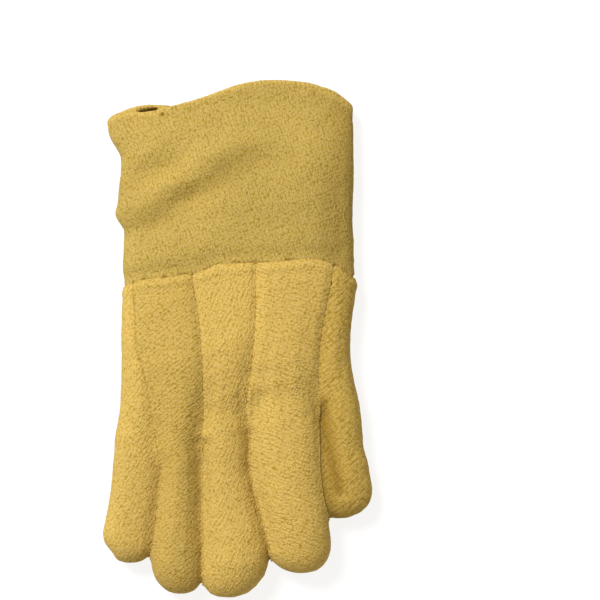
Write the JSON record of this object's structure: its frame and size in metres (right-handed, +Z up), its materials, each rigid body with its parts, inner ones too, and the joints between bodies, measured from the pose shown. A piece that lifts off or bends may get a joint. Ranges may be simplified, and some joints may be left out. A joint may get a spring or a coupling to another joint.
{
  "type": "terry cloth heat resistant glove",
  "caption": "Right-hand work glove of thick looped terry cloth lying on its palm, with a wide straight cuff, seamed back, straight thumb and hollow fingers.",
  "frame": {"origin": "centre of the glove's outline on the surface that its palm lies on", "axes": "+X across the hand towards the thumb, +Y from the fingertips to the cuff's mouth, +Z up, out of the back of the hand"},
  "size_m": [0.1734, 0.3351, 0.0364],
  "materials": {
    "hem": "stitched terry edge, matte",
    "cuff_terry": "looped terry, matte",
    "palm_terry": "looped terry, matte",
    "back_terry": "looped terry, matte",
    "thumb_terry": "looped terry, matte"
  },
  "bodies": {
    "root": {"cuff_hem": "hem", "cuff": "cuff_terry", "palm": "palm_terry", "back_little": "back_terry", "back_ring": "back_terry", "back_middle": "back_terry", "back_index": "back_terry", "thumb": "thumb_terry"}
  },
  "joints": []
}
